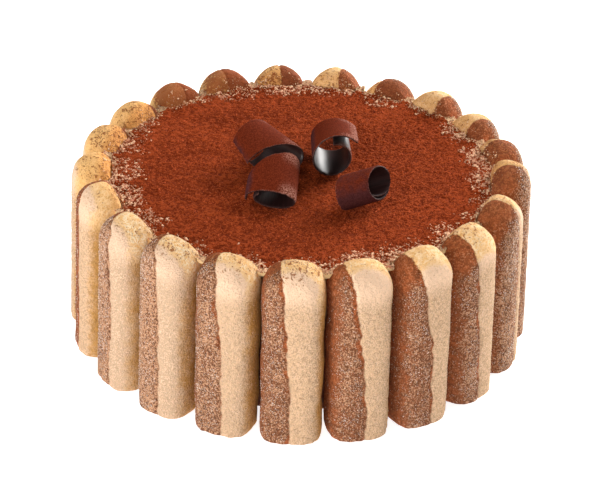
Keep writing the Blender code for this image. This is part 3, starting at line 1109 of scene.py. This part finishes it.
def round_grid(cells):
    """The points of a square grid drawn out to a disc of radius 1 with its cells kept about even."""
    side = np.linspace(-1, 1, cells + 1)
    a, b = np.meshgrid(side, side)
    wide = np.abs(a) > np.abs(b)
    radius = np.where(wide, a, b)
    with np.errstate(divide="ignore", invalid="ignore"):
        angle = np.where(wide, math.pi / 4 * b / a, math.pi / 2 - math.pi / 4 * a / b)
    angle = np.nan_to_num(angle)
    return (radius * np.cos(angle)).ravel(), (radius * np.sin(angle)).ravel()


def top_grid(settings):
    """The top's points and what it keeps for them, and each point's angle from the front and its reach."""
    unit_x, unit_y = round_grid(TOP_CELLS)
    angle = np.arctan2(unit_x, -unit_y)
    reach = cream_reach(angle)
    share = np.hypot(unit_x, unit_y)
    outer_share = (share - MIDDLE_SHARE) / (1 - MIDDLE_SHARE)
    outer = MIDDLE_RADIUS + outer_share * (reach - MIDDLE_RADIUS)
    radius = np.where(share < MIDDLE_SHARE, share / MIDDLE_SHARE * MIDDLE_RADIUS, outer)
    x, y = radius * np.sin(angle), -radius * np.cos(angle)
    height, values = top_relief(x, y, settings, reach)
    return np.stack([x, y, height], axis=1), values, angle, reach


def top_faces():
    """The top's quads, and the numbers of the points along its rim."""
    row = TOP_CELLS + 1
    corner = np.arange(TOP_CELLS)[:, None] * row + np.arange(TOP_CELLS)[None, :]
    quads = np.stack([corner, corner + 1, corner + 1 + row, corner + row], axis=-1).reshape(-1, 4)
    forth, back = np.arange(TOP_CELLS), np.arange(TOP_CELLS, 0, -1)
    rim = np.concatenate([forth, forth * row + TOP_CELLS, TOP_CELLS * row + back, back * row])
    return quads.tolist(), rim


def side_levels(reach):
    """Heights and radii of the cake's side, from under the rim down to the foot."""
    shoulder = np.minimum(reach, inner_radius(SHOULDER_HEIGHT))
    levels = [(UNDERCUT_HEIGHT, reach - UNDERCUT), (SHOULDER_HEIGHT, shoulder)]
    levels += [(level, inner_radius(level)) for level in (*SIDE_HEIGHTS, FOOT_HEIGHT)]
    return levels + [(0.0, FOOT_RADIUS)]


class CAKE_OT_cream_cake(bpy.types.Operator):
    """Fills the ring with the cream cake and sifts cocoa over it."""

    bl_idname = "cake.cream_cake"
    bl_label = "Cream cake"

    def execute(self, context):
        settings = context.scene.cake_top
        top, values, angle, reach = top_grid(settings)
        faces, rim = top_faces()
        kinds = [0] * len(faces)
        rings, above = [top], rim
        for number, (level, out) in enumerate(side_levels(reach[rim])):
            ring = [out * np.sin(angle[rim]), -out * np.cos(angle[rim]), np.full(len(rim), level)]
            rings.append(np.stack(ring, axis=1))
            below = len(top) + number * len(rim) + np.arange(len(rim))
            faces += np.stack([above, below, np.roll(below, -1), np.roll(above, -1)], axis=1).tolist()
            above = below
        faces.append(above[::-1].tolist())
        kinds += [1] * (len(faces) - len(kinds))
        points = np.concatenate(rings)
        rest = np.zeros(len(points) - len(top))
        values = {key: np.concatenate([value, rest]) for key, value in values.items()}
        materials = [cocoa_top_material(settings), cake_side_material(settings)]
        piece = add_piece("cocoa_dusted_cream", points, faces, materials, values, kinds)
        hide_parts("cream_cake")
        return {"FINISHED"}


# Chocolate curls


def curl_points(curl, along, swept, inset):
    """Points of the rolled sheet, from 0 at the near end to 1 at the far one, after a sweep in degrees."""
    turned = swept / 360
    angle = np.radians(curl.start + curl.hand * swept)
    base = curl.near_radius + (curl.far_radius - curl.near_radius) * along
    standing_off = curl.lift * np.maximum(0.0, 1 - turned / FREE_TURN) ** 2
    radius = base * (1 - curl.wind * turned) + standing_off
    height = curl.near_height + (curl.far_height - curl.near_height) * along
    near_cut = curl.near_slant * (1 - along) * np.cos(angle - math.radians(curl.near_slant_angle))
    far_cut = curl.far_slant * along * np.cos(angle - math.radians(curl.far_slant_angle))
    across = (radius - inset) * np.sin(angle)
    up = (radius * height - inset) * np.cos(angle) - base * (1 - height)
    return np.stack([across, curl.length * (along - 0.5) - near_cut + far_cut, up], axis=-1)


def curl_faces(steps, hand):
    """Faces of the sheet, the outer ones first, and the first corner of each outer face."""
    row = CURL_LENGTH_STEPS + 1
    count = (steps + 1) * row
    i = (np.arange(steps)[:, None] * row + np.arange(CURL_LENGTH_STEPS)[None, :]).ravel()
    faces = np.stack([i, i + row, i + row + 1, i + 1], axis=1).tolist()
    faces += (np.stack([i, i + 1, i + row + 1, i + row], axis=1) + count).tolist()
    for a in range(steps):
        near, far = a * row, a * row + CURL_LENGTH_STEPS
        faces.append([near, near + count, near + row + count, near + row])
        faces.append([far, far + row, far + row + count, far + count])
    for b in range(CURL_LENGTH_STEPS):
        first, last = b, steps * row + b
        faces.append([first, first + 1, first + 1 + count, first + count])
        faces.append([last, last + count, last + 1 + count, last + 1])
    if hand < 0:
        faces = [face[::-1] for face in faces]
    return faces, i


def curl_place(curl, s, k):
    """How a curl is turned, and how it is shifted to rest just above the cream."""
    turn = Matrix.Rotation(math.radians(curl.turn), 4, "Z") @ Matrix.Rotation(-math.radians(curl.tip), 4, "X")
    turn = np.array(turn)[:3, :3]
    outline = curl_points(curl, k, curl.sweep * s, 0.0).reshape(-1, 3) @ turn.T + np.array([*curl.place, 0])
    drop = (outline[:, 2] - top_wave(outline[:, 0], outline[:, 1])).min()
    return turn, np.array([*curl.place, TOP_HEIGHT + GAP - drop])


def curl_marks(curl, out, s, edge_room):
    """The cocoa, the pale rim and the painted highlight on the points of the sheet's outer face, then of its
    inner one.
    """
    up = np.clip(out[:, 2], -1, 1)
    outermost = smooth(s * curl.sweep, 400, 320)
    dust = smooth(up + 0.35 * out[:, 0], -0.25, 0.85) * curl.dust * outermost
    # Painted highlight on the side facing right, stronger near the edges; the rim itself is pale.
    to_right = out[:, 0] * 0.75 + out[:, 1] * 0.1 + out[:, 2] * 0.5
    near_edge = 0.25 + 0.75 * smooth(edge_room, 0.006, 0.001)
    bloom = smooth(to_right, 0.45, 0.95) * near_edge * curl.dust
    rim = smooth(edge_room, 0.0006, 0.0)
    return {
        "dust": np.concatenate([dust, 0.10 * smooth(-up, 0.5, 1.0)]),
        "bloom": np.concatenate([np.maximum(bloom, 0.55 * rim), 0.25 * rim]),
    }


def add_curl(curl, number, materials, settings):
    """A curl in its node's place: a sheet that thins towards its edges, with a slightly ragged rim."""
    steps = math.ceil(curl.sweep / CURL_ROUND_STEP)
    rows = np.linspace(0, 1, steps + 1)
    columns = 0.5 - 0.5 * np.cos(np.linspace(0, math.pi, CURL_LENGTH_STEPS + 1))
    s, k = np.meshgrid(rows, columns, indexing="ij")
    flat = np.stack([s.ravel() * curl.sweep / 8, k.ravel() * 12, np.full(s.size, number * 7.0)], axis=1)
    ragged = 0.012 * noise(flat, 1.3, 51).reshape(s.shape) + 0.008 * noise(flat, 0.5, 52).reshape(s.shape)
    ends = np.maximum(smooth(k, 0.12, 0.0), smooth(k, 0.88, 1.0))
    along = np.clip(k - np.sign(k - 0.5) * ends * np.abs(ragged) * 1.5, 0, 1)
    free = np.maximum(smooth(s, 0.04, 0.0), smooth(s, 0.96, 1.0))
    swept = curl.sweep * (s - np.sign(s - 0.5) * free * np.abs(ragged) * 0.8)
    unrolled = curl.sweep / DEGREES_A_RADIAN * curl.near_radius
    edge_room = np.minimum(np.minimum(k, 1 - k) * curl.length, np.minimum(s, 1 - s) * unrolled)
    full = settings.thickness * (0.35 + 0.65 * np.sqrt(smooth(edge_room, -0.0001, 0.0011)))
    buckle = 0.10 * MM * noise(flat, 2.6, 53).reshape(s.shape)
    outer = curl_points(curl, along, swept, (settings.thickness - full) / 2 - buckle * 0.5)
    inner = curl_points(curl, along, swept, (settings.thickness + full) / 2 - buckle * 0.5)

    turn, shift = curl_place(curl, s, k)
    points = np.concatenate([outer.reshape(-1, 3), inner.reshape(-1, 3)]) @ turn.T + shift
    faces, outer_corners = curl_faces(steps, curl.hand)
    kinds = np.ones(len(faces), np.int32)
    kinds[: len(outer_corners)] = np.where(swept.ravel()[outer_corners] < OPEN_SWEEP, 0, 1)
    out = unit((outer - inner).reshape(-1, 3) @ turn.T)
    own = np.stack([s.ravel() * unrolled, k.ravel() * curl.length, np.zeros(s.size)], axis=1)
    values = {"own": np.concatenate([own, own + 0.3])} | curl_marks(curl, out, s.ravel(), edge_room.ravel())
    piece = add_piece(f"curl_{number}", points, faces, materials, values, kinds)
    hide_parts(curl.node)


class CAKE_OT_chocolate_curls(bpy.types.Operator):
    """Lays the chocolate curls on the cream."""

    bl_idname = "cake.chocolate_curls"
    bl_label = "Chocolate curls"

    def execute(self, context):
        settings = context.scene.cake_curls
        dusted = dusted_chocolate(settings)
        glossy = clean_chocolate(settings, "glossy_chocolate", roughness=0.40, specular=0.45)
        dull = clean_chocolate(settings, "dull_chocolate", roughness=0.62, specular=0.10)
        for number, curl in enumerate(CURLS, 1):
            add_curl(curl, number, [dusted, dull if curl.dull else glossy], settings)
        return {"FINISHED"}


# Scattered bits


BIT_POINTS = 5
BIT_FACES = ((0, 1, 3), (1, 2, 3), (2, 0, 3), (1, 0, 4), (2, 1, 4), (0, 2, 4))
CRUMBS_PER_DOME_CRUMB = 4


def bits(draw, places, normals, sizes, flatness):
    """Points and faces of small irregular six-faced bits, one at each place and a little sunk into it."""
    count = len(places)
    side = unit(np.cross(normals, draw.normal(size=(count, 3))))
    other = np.cross(normals, side)
    points = np.empty((count, BIT_POINTS, 3))
    for corner in range(3):
        angle = 2 * math.pi / 3 * corner + draw.uniform(-0.5, 0.5, count)
        out = sizes * draw.uniform(0.7, 1.25, count)
        aside = side * np.cos(angle)[:, None] + other * np.sin(angle)[:, None]
        points[:, corner] = places + aside * out[:, None]
    rise = (sizes * flatness * draw.uniform(0.7, 1.3, count))[:, None] * normals
    points[:, 3] = places + rise
    points[:, 4] = places - rise
    points += 0.35 * rise[:, None]
    base = np.arange(count)[:, None, None] * BIT_POINTS
    faces = (base + np.array(BIT_FACES)[None]).reshape(-1, 3)
    return points.reshape(-1, 3), faces.tolist()


def add_bits(name, bit_mesh, tone, material):
    """A joined mesh of small bits, each with its own tone."""
    points, faces = bit_mesh
    add_piece(name, points, faces, [material], {"tone": np.repeat(tone, BIT_POINTS)})


def top_points():
    """Points and normals of the cream's top, without its sides."""
    points, normals = piece_points(bpy.data.objects["cocoa_dusted_cream"])
    return points[:TOP_POINTS], normals[:TOP_POINTS]


def top_values(key):
    """The values that the cream keeps for the points of its top."""
    return named_values(bpy.data.objects["cocoa_dusted_cream"], key)[:TOP_POINTS]


def pick(draw, weight, count):
    """Numbers of points drawn at random, oftener where the weight is high."""
    return draw.choice(len(weight), size=count, p=weight / weight.sum())


def mostly_small(draw, count, least, spread, most):
    """Random sizes from the least to the most in millimetres, with few large ones, in metres."""
    return np.minimum(draw.exponential(spread, count) + least, most) * MM


class CAKE_OT_sugar(bpy.types.Operator):
    """Sprinkles sugar crystals on the fingers' crusts."""

    bl_idname = "cake.sugar"
    bl_label = "Sugar crystals"

    def execute(self, context):
        draw = np.random.default_rng(7)
        places, ways, on_cocoa = [], [], []
        share = context.scene.cake_scatter.crystals / FINGER_COUNT
        for index, look in enumerate(FINGER_LOOKS):
            piece = bpy.data.objects[finger_name(index)]
            points, normals = piece_points(piece)
            crust, seam = named_values(piece, "crust"), named_values(piece, "seam")
            patch = noise(points, 5 * MM, 61)
            weight = smooth(crust, -0.0018, 0.0034) * (0.30 + 0.70 * smooth(patch, -0.5, 0.6))
            weight = weight * smooth(np.abs(seam - 0.0006), 0.0004, 0.0010)
            weight *= np.where(seam > 0, 1.0, 0.55) * smooth(points[:, 2], 0.0004, 0.0012)
            picked = pick(draw, weight, int(share * look.sugar))
            jitter = draw.normal(size=(len(picked), 3)) * 0.25 * MM
            jitter -= (jitter * normals[picked]).sum(axis=1)[:, None] * normals[picked]
            places.append(points[picked] + jitter)
            ways.append(normals[picked])
            on_cocoa.append(smooth(seam[picked], 0, 0.0006) * 0.7 + 0.15)
        places, ways = np.concatenate(places), np.concatenate(ways)
        sizes = draw.uniform(0.11, 0.27, len(places)) * MM
        made = bits(draw, places, ways, sizes, 0.7)
        tone = np.clip(np.concatenate(on_cocoa) + draw.normal(size=len(places)) * 0.15, 0, 1)
        add_bits("sugar_crystals", made, tone, grain_material("sugar_crystals", SUGAR_TONES, 0.35, 2 * MM))
        return {"FINISHED"}


class CAKE_OT_cocoa_grains(bpy.types.Operator):
    """Strews coarser grains of cocoa over the top."""

    bl_idname = "cake.cocoa_grains"
    bl_label = "Cocoa grains"

    def execute(self, context):
        draw = np.random.default_rng(8)
        points, normals = top_points()
        count = context.scene.cake_scatter.grains
        picked = draw.choice(TOP_POINTS, size=count)
        jitter = draw.uniform(-0.25, 0.25, (count, 3)) * MM
        jitter[:, 2] = 0
        sizes = mostly_small(draw, count, 0.10, 0.09, 0.5)
        made = bits(draw, points[picked] + jitter, normals[picked], sizes, 0.8)
        settings = context.scene.cake_top
        tones = (shade(settings.cocoa_light, 1.5), settings.cocoa_dark)
        material = grain_material("loose_cocoa", tones, 0.9, 1.2 * MM)
        add_bits("cocoa_grains", made, draw.uniform(0, 1, count), material)
        return {"FINISHED"}


class CAKE_OT_cream_flecks(bpy.types.Operator):
    """Sets small ragged flecks of cream and crumb in a belt along the rim."""

    bl_idname = "cake.cream_flecks"
    bl_label = "Cream flecks"

    def execute(self, context):
        draw = np.random.default_rng(9)
        points, normals = top_points()
        count = context.scene.cake_scatter.flecks
        weight = np.maximum(top_values("bare") - 0.12, 0) ** 1.6 * (0.12 + top_values("web") ** 2)
        picked = pick(draw, weight, count)
        made = bits(draw, points[picked], normals[picked], mostly_small(draw, count, 0.20, 0.20, 1.0), 0.55)
        material = grain_material("cream_flecks", FLECK_TONES, 0.7, 1.0 * MM)
        add_bits("cream_flecks", made, draw.uniform(0, 1, count), material)
        return {"FINISHED"}


class CAKE_OT_rim_crumbs(bpy.types.Operator):
    """Drops sponge crumbs, tan and brown, along the rim and against the rounded tops of the fingers."""

    bl_idname = "cake.rim_crumbs"
    bl_label = "Rim crumbs"

    def execute(self, context):
        draw = np.random.default_rng(10)
        count = context.scene.cake_scatter.crumbs
        points, normals = top_points()
        radius, angle = np.hypot(points[:, 0], points[:, 1]), np.arctan2(points[:, 0], -points[:, 1])
        patch = smooth(noise(points, 5 * MM, 71), -0.6, 0.5)
        weight = smooth(cream_reach(angle) - radius, 0.0034, 0.0) * (0.25 + 0.75 * patch)
        weight = weight * smooth(normals[:, 2], 0.2, 0.6)
        picked = pick(draw, weight, count)
        places, ways = [points[picked]], [normals[picked]]
        for index in range(FINGER_COUNT):
            points, normals = piece_points(bpy.data.objects[finger_name(index)])
            inward = -(normals[:, :2] * points[:, :2]).sum(axis=1) / RING_RADIUS
            up, top = points[:, 2], points[:, 2].max()
            weight = smooth(up, TOP_HEIGHT - 0.0005, TOP_HEIGHT + 0.0010) * smooth(inward, 0.0, 0.4)
            weight *= smooth(up, top - 0.0008, top - 0.0035) * smooth(noise(points, 3 * MM, 72), -0.4, 0.5)
            picked = pick(draw, weight, count // FINGER_COUNT // CRUMBS_PER_DOME_CRUMB)
            places.append(points[picked])
            ways.append(normals[picked])
        places, ways = np.concatenate(places), np.concatenate(ways)
        made = bits(draw, places, ways, mostly_small(draw, len(places), 0.16, 0.13, 0.75), 0.8)
        tan_or_brown = 0.5 + 0.45 * np.sign(draw.normal(size=len(places)))
        tone = np.clip(tan_or_brown + draw.normal(size=len(places)) * 0.2, 0, 1)
        add_bits("rim_crumbs", made, tone, grain_material("rim_crumbs", CRUMB_TONES, 0.85, 1.0 * MM))
        return {"FINISHED"}


# Stage


def floor_material(settings):
    """A pale matte floor."""
    paint = Paint("pale_floor")
    tone = paint.noise(paint.place(), FLOOR_BLOTCH, 2)
    colour = paint.mix(paint.step(tone, 0.3, 0.7), shade(settings.floor, 0.985), settings.floor)
    glow = {"Emission_Color": (1, 1, 1), "Emission_Strength": settings.floor_glow}
    return paint.finish(Base_Color=colour, Roughness=0.9, Specular_IOR_Level=0.2, **glow)


def add_light(name, place, size, power):
    """A square soft light, turned to the cake."""
    data = bpy.data.lights.new(name, "AREA")
    data.shape = "SQUARE"
    data.size = size
    data.energy = power
    data.color = LIGHT_COLOUR
    light = bpy.data.objects.new(name, data)
    light.location = place
    light.rotation_mode = "QUATERNION"
    light.rotation_quaternion = (Vector(LIGHTS_AIM) - light.location).to_track_quat("-Z", "Y")
    bpy.context.scene.collection.objects.link(light)


def add_camera():
    """The camera at the picture's viewing angle."""
    data = bpy.data.cameras.new("camera")
    data.sensor_width = SENSOR_WIDTH
    data.lens = FOCAL_PIXELS / PICTURE_WIDTH * data.sensor_width
    data.shift_x = (PICTURE_WIDTH / 2 - CENTRE_X) / PICTURE_WIDTH
    data.shift_y = -(PICTURE_HEIGHT / 2 - CENTRE_Y) / PICTURE_WIDTH
    data.clip_start, data.clip_end = CLIP_RANGE
    camera = bpy.data.objects.new("camera", data)
    look = np.array([0, math.cos(CAMERA_PITCH), -math.sin(CAMERA_PITCH)])
    right = np.array([1.0, 0, 0])
    up = np.cross(right, look)
    rolled_right = right * math.cos(CAMERA_ROLL) + up * math.sin(CAMERA_ROLL)
    rolled_up = up * math.cos(CAMERA_ROLL) - right * math.sin(CAMERA_ROLL)
    matrix = np.identity(4)
    matrix[:3, 0], matrix[:3, 1], matrix[:3, 2] = rolled_right, rolled_up, -look
    matrix[:3, 3] = np.array([0, 0, AIM_HEIGHT]) - look * CAMERA_DISTANCE
    camera.matrix_world = Matrix(matrix.tolist())
    bpy.context.scene.collection.objects.link(camera)
    bpy.context.scene.camera = camera


class CAKE_OT_stage(bpy.types.Operator):
    """Sets up the floor, the soft studio light and the camera."""

    bl_idname = "cake.stage"
    bl_label = "Stage"

    def execute(self, context):
        settings = context.scene.cake_stage
        scene = context.scene
        scene.view_settings.view_transform = "Standard"
        mesh = bpy.data.meshes.new("floor")
        corners = [(x * FLOOR_REACH, y * FLOOR_REACH, 0) for x, y in ((-1, -1), (1, -1), (1, 1), (-1, 1))]
        mesh.from_pydata(corners, [], [(0, 1, 2, 3)])
        mesh.materials.append(floor_material(settings))
        floor = bpy.data.objects.new("floor", mesh)
        floor.location.z = -FLOOR_DEPTH
        scene.collection.objects.link(floor)

        world = bpy.data.worlds.new("studio")
        world.use_nodes = True
        background = world.node_tree.nodes["Background"]
        background.inputs["Color"].default_value = WORLD_COLOUR
        background.inputs["Strength"].default_value = WORLD_STRENGTH
        scene.world = world
        for name, place, size in LIGHTS:
            add_light(name, place, size, getattr(settings, name))
        add_camera()
        return {"FINISHED"}


class CAKE_PT_panel(bpy.types.Panel):
    """Lists the cake's settings and the buttons that build its pieces."""

    bl_label = "Tiramisu cake"
    bl_idname = "CAKE_PT_panel"
    bl_space_type = "VIEW_3D"
    bl_region_type = "UI"
    bl_category = "Cake"

    def draw(self, context):
        column = self.layout.column()
        for group in GROUPS:
            settings = getattr(context.scene, group)
            for key in settings.__annotations__:
                column.prop(settings, key)
        for operator in OPERATORS:
            column.operator(operator.bl_idname)


GROUPS = {
    "cake_fingers": FingerSettings,
    "cake_top": TopSettings,
    "cake_curls": CurlSettings,
    "cake_scatter": ScatterSettings,
    "cake_stage": StageSettings,
}
OPERATORS = (
    CAKE_OT_sponge_fingers,
    CAKE_OT_cream_cake,
    CAKE_OT_chocolate_curls,
    CAKE_OT_sugar,
    CAKE_OT_cocoa_grains,
    CAKE_OT_cream_flecks,
    CAKE_OT_rim_crumbs,
    CAKE_OT_stage,
)


def register():
    """Adds the settings, the operators and the panel."""
    for group in GROUPS.values():
        bpy.utils.register_class(group)
    for operator in OPERATORS:
        bpy.utils.register_class(operator)
    bpy.utils.register_class(CAKE_PT_panel)
    for name, group in GROUPS.items():
        setattr(bpy.types.Scene, name, PointerProperty(type=group))


def unregister():
    """Takes away what register adds."""
    for name in GROUPS:
        delattr(bpy.types.Scene, name)
    bpy.utils.unregister_class(CAKE_PT_panel)
    for operator in reversed(OPERATORS):
        bpy.utils.unregister_class(operator)
    for group in reversed(GROUPS.values()):
        bpy.utils.unregister_class(group)


def main():
    """Builds the cake and its stage."""
    register()
    bpy.ops.cake.sponge_fingers()
    bpy.ops.cake.cream_cake()
    bpy.ops.cake.chocolate_curls()
    bpy.ops.cake.sugar()
    bpy.ops.cake.cocoa_grains()
    bpy.ops.cake.cream_flecks()
    bpy.ops.cake.rim_crumbs()
    bpy.ops.cake.stage()


if __name__ == "__main__":
    main()
